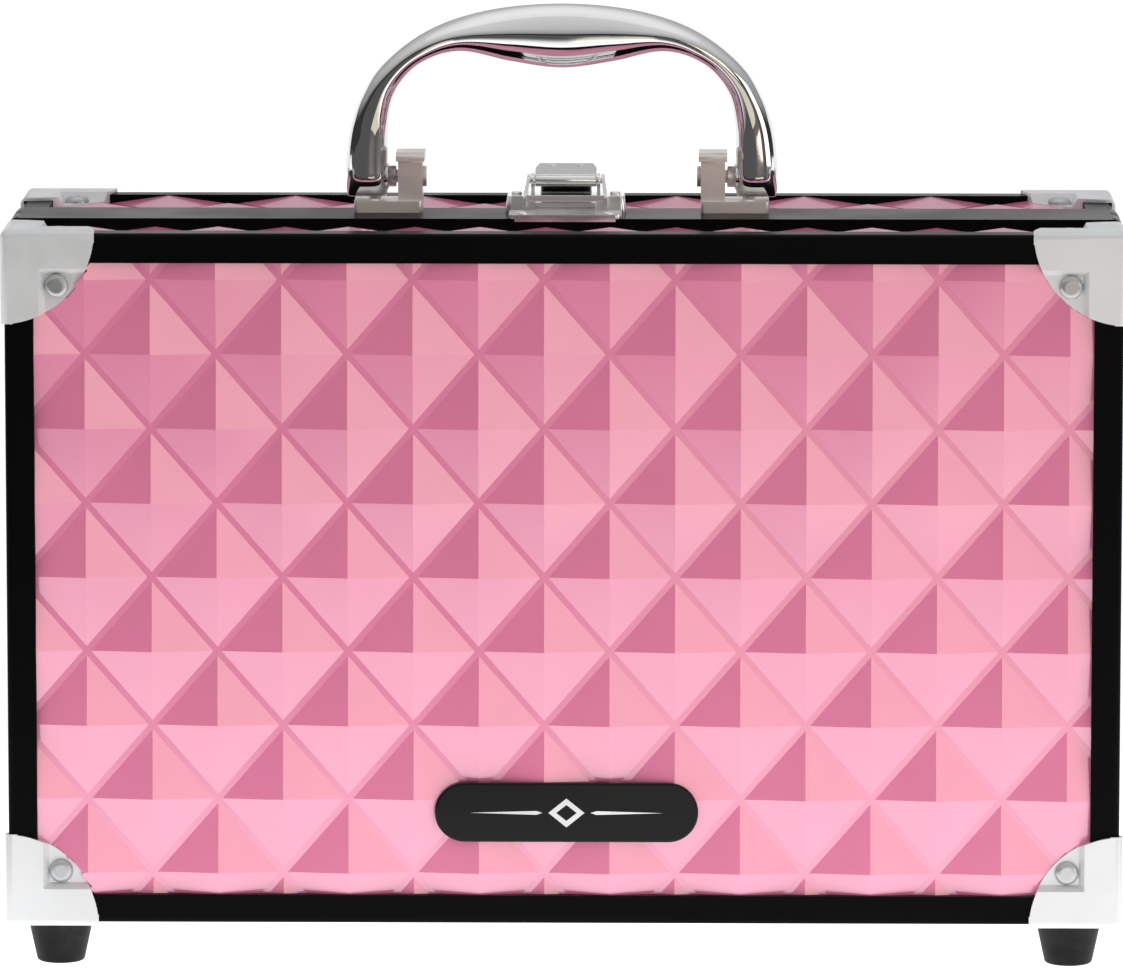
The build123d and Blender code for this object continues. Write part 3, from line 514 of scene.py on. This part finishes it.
def bow_mesh():
    """The handle as one loft: round leg ends, slim legs, and a broad grip that slopes away from a crease."""
    around = 56
    samples = 127
    pivot_height = (PIVOT.z - RIM_TOP) / MM
    stations = []
    for turn in np.linspace(0.1, math.pi / 2, 9)[:-1]:
        tuck = 0.7 * (1 - math.sin(turn)) ** 1.5
        height = pivot_height - LEG_ROUND * math.cos(turn)
        outer_x = OUTER_LINE[0][0] - tuck
        inner_x = INNER_LINE[0][0] + tuck
        stations.append(((outer_x, height), (inner_x, height), LEG_ROUND * math.sin(turn)))
    leg_end = [((-out[0], out[1]), (-into[0], into[1]), depth) for out, into, depth in reversed(stations)]
    for out, into in zip(smooth_line(OUTER_LINE, samples), smooth_line(INNER_LINE, samples)):
        grip = np.clip(((out[1] + into[1]) / 2 - GRIP_FROM) / GRIP_RUN, 0.0, 1.0)
        stations.append((out, into, LEG_ROUND + GRIP_EXTRA * grip * grip * (3 - 2 * grip)))
    stations += leg_end
    vertices = []
    faces = []
    for out, into, depth in stations:
        middle = (np.array(out) + into) / 2
        radial = (np.array(out) - into) / 2
        leaf = max(0.0, 1.0 - (abs(middle[0]) / TAPER_REACH) ** 2) if middle[1] > TAPER_FROM else 0.0
        for k in range(around):
            angle = 2 * math.pi * k / around
            across, along = (squared(part) for part in (math.cos(angle), math.sin(angle)))
            above = max(0.0, across - CREASE) / (1.0 - CREASE)
            below = max(0.0, CREASE - across) / (1.0 + CREASE)
            x, z = middle + radial * across
            y = depth * (1.0 - leaf * (TAPER * above + TAPER * below)) * along
            vertices.append((PIVOT.x + x * MM, PIVOT.y + y * MM, RIM_TOP + z * MM))
    for i in range(len(stations) - 1):
        for k in range(around):
            a, b = i * around + k, i * around + (k + 1) % around
            faces.append((a, a + around, b + around, b))
    faces.append(tuple(range(around)))
    last = (len(stations) - 1) * around
    faces.append(tuple(last + k for k in reversed(range(around))))
    return vertices, faces


bow_vertices, bow_faces = bow_mesh()
bow = make_object("carrying_handle", bow_vertices, bow_faces, handle_chrome, "handle")
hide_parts("handle_bow")


def turned(name, body, centre, axis, profile, material, around=40):
    """A body of revolution: profile is pairs of distance along the axis and radius."""
    axis = Vector(axis).normalized()
    side = axis.orthogonal().normalized()
    other = axis.cross(side)
    vertices = []
    faces = []
    for distance, radius in profile:
        for k in range(around):
            angle = 2 * math.pi * k / around
            spoke = side * math.cos(angle) + other * math.sin(angle)
            vertices.append(tuple(Vector(centre) + axis * distance + spoke * radius))
    for i in range(len(profile) - 1):
        for k in range(around):
            a, b = i * around + k, i * around + (k + 1) % around
            faces.append((a, b, b + around, a + around))
    faces.append(tuple(reversed(range(around))))
    last = (len(profile) - 1) * around
    faces.append(tuple(last + k for k in range(around)))
    piece = make_object(name, vertices, faces, material, body)


COLLAR_START = 41.4
COLLAR = [(0.0, 3.1), (0.5, 3.1), (0.7, 2.9), (0.7, 2.5), (2.3, 2.5), (2.5, 2.3), (2.5, 1.2)]
for name, direction in (("right", -1), ("left", 1)):
    start = Vector((PIVOT.x - direction * COLLAR_START * MM, PIVOT.y, PIVOT.z))
    turned(f"handle_collar_{name}", "handle", start, (direction, 0, 0),
           [(along * MM, radius * MM) for along, radius in COLLAR], handle_chrome)


# ---------------------------------------------------------------- painted shade: a dark strip under the latch's lever
def painted_shade_strip():
    """A thin dark steel strip in front of the latch's tab, bowed towards the lever; it is painted shade, standing
    in for the shadowed hollow under the lever.
    """
    behind_pin = 6.6 * MM
    half_width = 5.7 * MM
    thickness = 0.22 * MM
    bottom, tall = -3.5, 4.4
    bulge = 0.5 * MM
    narrowing = 0.12
    columns, rows = 12, 10
    middle = Vector(joints["latch_lever"]["pos_m"]) + Vector((0, behind_pin, 0))
    vertices = []
    for thick in (0.0, thickness):
        for i in range(rows + 1):
            height = (bottom + tall * i / rows) * MM
            bow = bulge * math.sin(math.pi * i / rows)
            for j in range(columns + 1):
                across = half_width * (2 * j / columns - 1) * (1.0 - narrowing * (i / rows) ** 6)
                vertices.append(tuple(middle + Vector((across, -bow - thick, height))))
    layer = (rows + 1) * (columns + 1)
    faces = []
    for i in range(rows):
        for j in range(columns):
            a = i * (columns + 1) + j
            quad = [a, a + 1, a + columns + 2, a + columns + 1]
            faces += [quad[::-1], [layer + place for place in quad]]
    rim = list(range(columns + 1)) + [i * (columns + 1) + columns for i in range(1, rows + 1)]
    rim += [rows * (columns + 1) + j for j in reversed(range(columns))]
    rim += [i * (columns + 1) for i in reversed(range(1, rows))]
    for here, after in zip(rim, rim[1:] + rim[:1]):
        faces.append([here, after, layer + after, layer + here])
    # the dark strip is painted shade for the hollow under the lever
    strip = make_object("latch_leaf_spring", vertices, faces, painted_shade_steel, "base")


painted_shade_strip()


# ---------------------------------------------------------------- lining and dividers
QUILT = 20.0 * MM
LINING = 0.8 * MM
LINING_GAP = 0.1 * MM
LINING_CELL = 1.6 * MM
EDGE_ROLL = 3.0 * MM
SEAM_RUN = 6.0 * MM


def quilted_panel(origin, run, rise, normal, size):
    """A thin padded panel: it rolls down to its backing at the edges and sinks along the stitch lines."""
    lines = [np.linspace(-length / 2, length / 2, round(length / LINING_CELL) + 1) for length in size]
    across, up = np.meshgrid(*lines, indexing="ij")
    edge = np.minimum(size[0] / 2 - np.abs(across), size[1] / 2 - np.abs(up))
    roll = 1 - np.clip(edge / EDGE_ROLL, 0.0, 1.0)
    seams = []
    for sign in (1, -1):
        place = (across + sign * up) / (QUILT * math.sqrt(2))
        seams.append(np.abs(place - np.round(place)) * QUILT)
    puff = np.clip(np.minimum(*seams) / SEAM_RUN, 0.0, 1.0) ** 0.5
    height = LINING * (0.25 + 0.75 * np.sqrt(1 - roll ** 2)) * (0.5 + 0.5 * puff)
    origin, run, rise, normal = (np.array(part, float) for part in (origin, run, rise, normal))
    flat = origin + across[..., None] * run + up[..., None] * rise
    top = (flat + height[..., None] * normal).reshape(-1, 3)
    index = np.arange(len(top)).reshape(across.shape)
    rim = list(index[:, 0]) + list(index[-1, 1:]) + list(index[-2::-1, -1]) + list(index[0, -2:0:-1])
    ring = (index[:-1, :-1], index[1:, :-1], index[1:, 1:], index[:-1, 1:])
    faces = np.stack(ring, axis=-1).reshape(-1, 4).tolist()
    for here in range(len(rim)):
        after = (here + 1) % len(rim)
        faces.append([int(rim[after]), int(rim[here]), len(top) + here, len(top) + after])
    faces.append([len(top) + place for place in reversed(range(len(rim)))])
    return top.tolist() + flat.reshape(-1, 3)[rim].tolist(), faces


def joined(parts):
    """Several meshes as one list of vertices and one of faces."""
    vertices = []
    faces = []
    for more_vertices, more_faces in parts:
        faces += [[len(vertices) + place for place in face] for face in more_faces]
        vertices += more_vertices
    return vertices, faces


def quilted_lining(half, outward):
    """Five quilted panels of one half: its back, at the side that outward points to, and its four walls."""
    low, high = (np.array(corner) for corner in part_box(f"{half}_lining"))
    middle = (low + high) / 2
    size = high - low
    back_y = high[1] if outward > 0 else low[1]
    depth = size[1] - LINING - LINING_GAP
    wall_y = middle[1] - outward * (LINING + LINING_GAP) / 2
    short = size[2] - 2 * LINING - 2 * LINING_GAP
    panels = (
        ((middle[0], back_y, middle[2]), (outward, 0, 0), (0, 0, 1), (0, -outward, 0), (size[0], size[2])),
        ((middle[0], wall_y, low[2]), (1, 0, 0), (0, 1, 0), (0, 0, 1), (size[0], depth)),
        ((middle[0], wall_y, high[2]), (-1, 0, 0), (0, 1, 0), (0, 0, -1), (size[0], depth)),
        ((low[0], wall_y, middle[2]), (0, 0, -1), (0, 1, 0), (1, 0, 0), (short, depth)),
        ((high[0], wall_y, middle[2]), (0, 0, 1), (0, 1, 0), (-1, 0, 0), (short, depth)),
    )
    vertices, faces = joined(quilted_panel(*panel) for panel in panels)
    lining = make_object(f"{half}_quilted_lining", vertices, faces, lining_cloth, half)
    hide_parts(f"{half}_lining")


quilted_lining("lid", -1)
quilted_lining("base", 1)


def divider_pad(start, end, floor_y, height, channels):
    """A padded board on edge, sewn into channels, with a piped welt along its free edge."""
    start, end = Vector(start), Vector(end)
    run = (end - start).normalized()
    side = Vector((0, -1, 0)).cross(run)
    length = (end - start).length
    half = 1.5 * MM
    bead = height - 1.5 * MM
    heights = [0.0, 0.5 * MM] + list(np.linspace(1.5 * MM, bead - 3.2 * MM, 10))
    heights += [bead - 2.4 * MM, bead - 2.0 * MM]
    body = [0.75, 0.92] + [1.0] * 10 + [0.74, 0.5]
    turns = np.linspace(-1.0, math.pi / 2 - 0.12, 9)
    profile = list(zip(heights, body)) + [(bead + half * math.sin(turn), math.cos(turn)) for turn in turns]
    sewn = len(heights) - 2
    count = max(24, round(length / (2.0 * MM)))
    vertices = []
    for i in range(count + 1):
        place = i / count
        puff = abs(math.sin(math.pi * place * channels)) ** 0.5
        ends = math.sqrt(max(0.0, 1 - max(0.0, 1 - min(place, 1 - place) * length / half) ** 2))
        ring = []
        for k, (rise, width) in enumerate(profile):
            swell = 0.84 + 0.16 * puff * math.sin(math.pi * min(1.0, k / sewn)) if 1 < k < sewn else 1.0
            ring.append((rise, half * width * swell * (0.6 + 0.4 * ends)))
        on_run = start + run * (length * place)
        for rise, width in ring + [(rise, -width) for rise, width in reversed(ring)]:
            vertices.append(tuple(on_run + side * width + Vector((0, floor_y - rise, 0))))
    around = 2 * len(profile)
    faces = []
    for i in range(count):
        for k in range(around):
            a, b = i * around + k, i * around + (k + 1) % around
            faces.append([a, b, b + around, a + around])
    faces.append(list(reversed(range(around))))
    faces.append([count * around + k for k in range(around)])
    return vertices, faces


def dividers(name, node, parts):
    vertices, faces = joined(parts)
    pad = make_object(name, vertices, faces, divider_cloth, "base")
    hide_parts(node)


long_low, long_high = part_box("long_divider")
short_low, short_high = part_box("short_dividers")
long_z = (long_low[2] + long_high[2]) / 2
long_height = long_high[1] - long_low[1]
short_height = short_high[1] - short_low[1]
DIVIDER_GAP = 0.4 * MM
UPPER_SPLIT = 42.0
LOWER_SPLIT = 8.0
dividers("long_padded_divider", "long_divider", [
    divider_pad((long_low[0], 0, long_z), (long_high[0], 0, long_z), long_high[1], long_height, 8),
])
spans = (
    (-UPPER_SPLIT, long_high[2] + DIVIDER_GAP, short_high[2]),
    (UPPER_SPLIT, long_high[2] + DIVIDER_GAP, short_high[2]),
    (LOWER_SPLIT, short_low[2], long_low[2] - DIVIDER_GAP),
)
dividers("short_padded_dividers", "short_dividers", [
    divider_pad((x * MM, 0, low), (x * MM, 0, high), short_high[1], short_height, 3) for x, low, high in spans
])


# ---------------------------------------------------------------- floor, light and camera
def area_light(name, place, target, size, power, colour=(1.0, 1.0, 1.0), spread=180.0):
    data = bpy.data.lights.new(name, "AREA")
    data.shape = "RECTANGLE"
    data.size, data.size_y = size
    data.energy = power
    data.color = colour
    data.spread = math.radians(spread)
    obj = bpy.data.objects.new(name, data)
    bpy.context.scene.collection.objects.link(obj)
    obj.location = place
    obj.rotation_euler = (Vector(target) - Vector(place)).to_track_quat("-Z", "Y").to_euler()
    obj.visible_camera = False


def floor_material():
    """A floor that glows white as a painted pool of light: brightest near the object and behind it, fading out in
    front.
    """
    s = Shade("painted_light_pool_floor")
    split = s.node("ShaderNodeSeparateXYZ")
    s.link(s.position(), split.inputs["Vector"])
    depth = s.node("ShaderNodeMapRange")
    depth.inputs["From Min"].default_value = -1.0
    s.link(split.outputs["Y"], depth.inputs["Value"])
    # painted pool of light: emission strength by depth along the floor, brightest just around the object
    stops = [(0.25, 0.04), (0.30, 0.23), (0.33, 0.56), (0.36, 1.04), (0.40, 1.42), (0.45, 1.56), (0.53, 1.42),
             (0.63, 1.00)]
    glow = s.ramp(depth.outputs["Result"], stops)
    s.link(glow, s.bsdf.inputs["Emission Color"])
    s.bsdf.inputs["Emission Strength"].default_value = 1.0
    s.set(specular_ior_level=0.1)
    return s.finish((0.07, 0.07, 0.07), 0.7)


def studio_floor():
    """A floor, pale only from its painted glow, that sweeps up low behind the object."""
    bend = 1.2
    bend_steps = 12
    back = 3.0
    width = 8.0
    front = -5.0
    profile = [(front, 0.0), (back, 0.0)]
    for step in range(1, bend_steps + 1):
        angle = math.radians(90 * step / bend_steps)
        profile.append((back + bend * math.sin(angle), bend * (1 - math.cos(angle))))
    vertices = [(side * width, y, z) for y, z in profile for side in (-1, 1)]
    faces = [(2 * i, 2 * i + 1, 2 * i + 3, 2 * i + 2) for i in range(len(profile) - 1)]
    mesh = bpy.data.meshes.new("floor")
    mesh.from_pydata(vertices, [], faces)
    mesh.polygons.foreach_set("use_smooth", [True] * len(mesh.polygons))
    mesh.materials.append(floor_material())
    floor = bpy.data.objects.new("floor", mesh)
    bpy.context.scene.collection.objects.link(floor)


studio_floor()


def studio_world():
    """Dark at the horizon and light grey overhead."""
    world = bpy.data.worlds.new("studio")
    bpy.context.scene.world = world
    world.use_nodes = True
    tree = world.node_tree
    coords = tree.nodes.new("ShaderNodeTexCoord")
    split = tree.nodes.new("ShaderNodeSeparateXYZ")
    ramp = tree.nodes.new("ShaderNodeValToRGB")
    tree.links.new(coords.outputs["Generated"], split.inputs["Vector"])
    tree.links.new(split.outputs["Z"], ramp.inputs["Fac"])
    tree.links.new(ramp.outputs["Color"], tree.nodes["Background"].inputs["Color"])
    elements = ramp.color_ramp.elements
    for place, grey in ((0.11, 0.04), (0.22, 0.36)):
        elements.new(place).color = (grey, grey, grey, 1.0)
    elements[0].color = (0.04, 0.04, 0.04, 1.0)
    elements[-1].color = (0.84, 0.84, 0.84, 1.0)


studio_world()
bpy.context.scene.view_settings.view_transform = "Standard"

area_light("overhead", (0.0, 0.2, 1.6), (0, 0.2, 0), (1.6, 1.4), 0.4, spread=90.0)
area_light("warm_card", (0.5, -1.9, 0.25), (0.5, 0, 0.25), (0.75, 0.5), 1.9, (1.0, 0.82, 0.70))
area_light("warm_side", (1.6, -1.0, 0.4), (0, 0, 0.1), (1.0, 0.8), 5.0, (1.0, 0.90, 0.84))
area_light("warm_floor", (0.22, -0.62, 0.004), (0.22, -0.62, 1.0), (0.44, 0.70), 0.7, (1.0, 0.92, 0.72))

CAMERA_PLACE = (0.03064, -2.14417, 0.42234)
YAW = 0.0148
PITCH = 0.1452
LENS = 293.7
camera_data = bpy.data.cameras.new("camera")
camera = bpy.data.objects.new("camera", camera_data)
bpy.context.scene.collection.objects.link(camera)
camera.location = CAMERA_PLACE
camera.rotation_euler = (math.pi / 2 - PITCH, 0.0, YAW)
camera_data.sensor_width = 36.0
camera_data.lens = LENS
camera_data.clip_end = 50.0
bpy.context.scene.camera = camera
